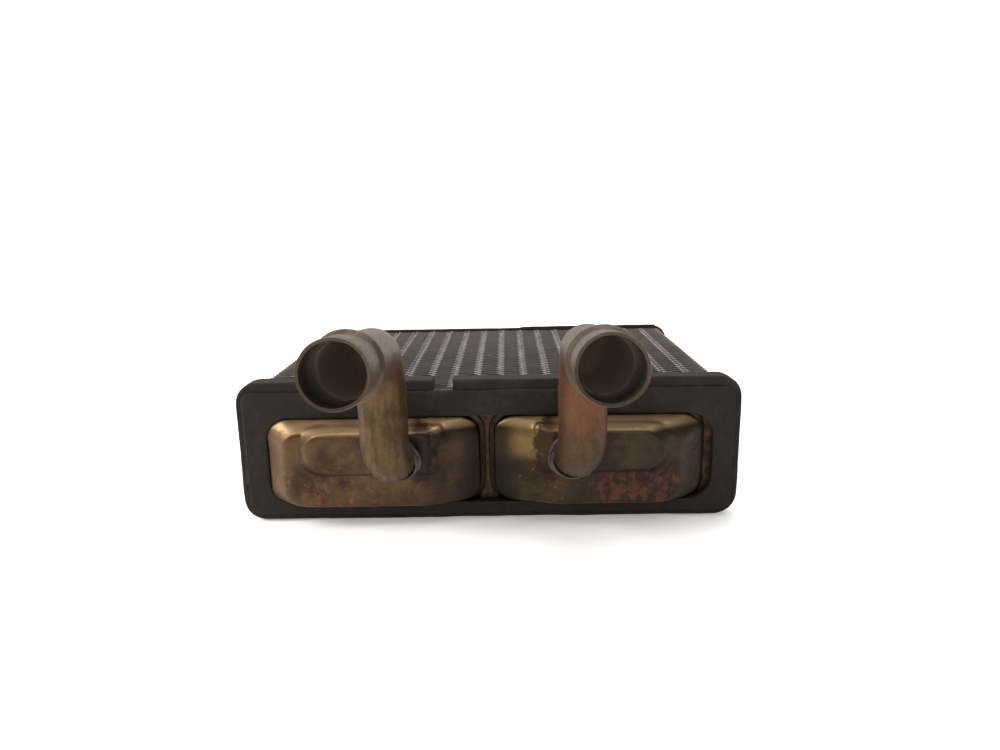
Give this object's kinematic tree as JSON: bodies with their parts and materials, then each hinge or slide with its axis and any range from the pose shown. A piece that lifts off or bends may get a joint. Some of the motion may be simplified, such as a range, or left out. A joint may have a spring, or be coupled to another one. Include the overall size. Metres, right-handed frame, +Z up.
{
  "type": "car cabin heater radiator",
  "caption": "Small copper and brass car heater radiator: finned flat-tube core, front tanks with bent hose pipes, rear return tank and black foam seals.",
  "frame": {"origin": "middle of the lower face of the front foam seal, at the outer face of the front header plate, on the surface the radiator rests on", "axes": "+X across the core towards the outlet pipe, +Y from the pipe end towards the rear tank, +Z up along the air flow"},
  "size_m": [0.183, 0.2477, 0.0876],
  "materials": {
    "tinned_tube": "solder-dipped, dull silver",
    "painted_fin": "thin dark paint over copper foil",
    "header_brass": "brown tarnish",
    "inlet_tank_brass": "olive-gold tarnish with pink copper patches",
    "outlet_tank_brass": "olive-gold tarnish with pink copper patches",
    "return_tank_brass": "olive-gold tarnish",
    "inlet_pipe_copper": "olive tarnish",
    "outlet_pipe_copper": "pink copper with tarnish",
    "solder": "dull tin-lead solder",
    "seal_foam": "matt closed-cell foam"
  },
  "bodies": {
    "root": {"tube_01": "tinned_tube", "tube_02": "tinned_tube", "tube_03": "tinned_tube", "tube_04": "tinned_tube", "tube_05": "tinned_tube", "tube_06": "tinned_tube", "tube_07": "tinned_tube", "tube_08": "tinned_tube", "tube_09": "tinned_tube", "tube_10": "tinned_tube", "tube_11": "tinned_tube", "tube_12": "tinned_tube", "tube_13": "tinned_tube", "tube_14": "tinned_tube", "tube_15": "tinned_tube", "tube_16": "tinned_tube", "tube_17": "tinned_tube", "tube_18": "tinned_tube", "fin_01": "painted_fin", "fin_02": "painted_fin", "fin_03": "painted_fin", "fin_04": "painted_fin", "fin_05": "painted_fin", "fin_06": "painted_fin", "fin_07": "painted_fin", "fin_08": "painted_fin", "fin_09": "painted_fin", "fin_10": "painted_fin", "fin_11": "painted_fin", "fin_12": "painted_fin", "fin_13": "painted_fin", "fin_14": "painted_fin", "fin_15": "painted_fin", "fin_16": "painted_fin", "fin_17": "painted_fin", "fin_18": "painted_fin", "fin_19": "painted_fin", "front_header": "header_brass", "rear_header": "header_brass", "inlet_tank": "inlet_tank_brass", "outlet_tank": "outlet_tank_brass", "return_tank": "return_tank_brass", "inlet_pipe": "inlet_pipe_copper", "outlet_pipe": "outlet_pipe_copper", "inlet_collar": "solder", "outlet_collar": "solder", "front_seal_outer": "seal_foam", "front_seal_inner": "seal_foam", "rear_seal": "seal_foam"}
  },
  "joints": []
}
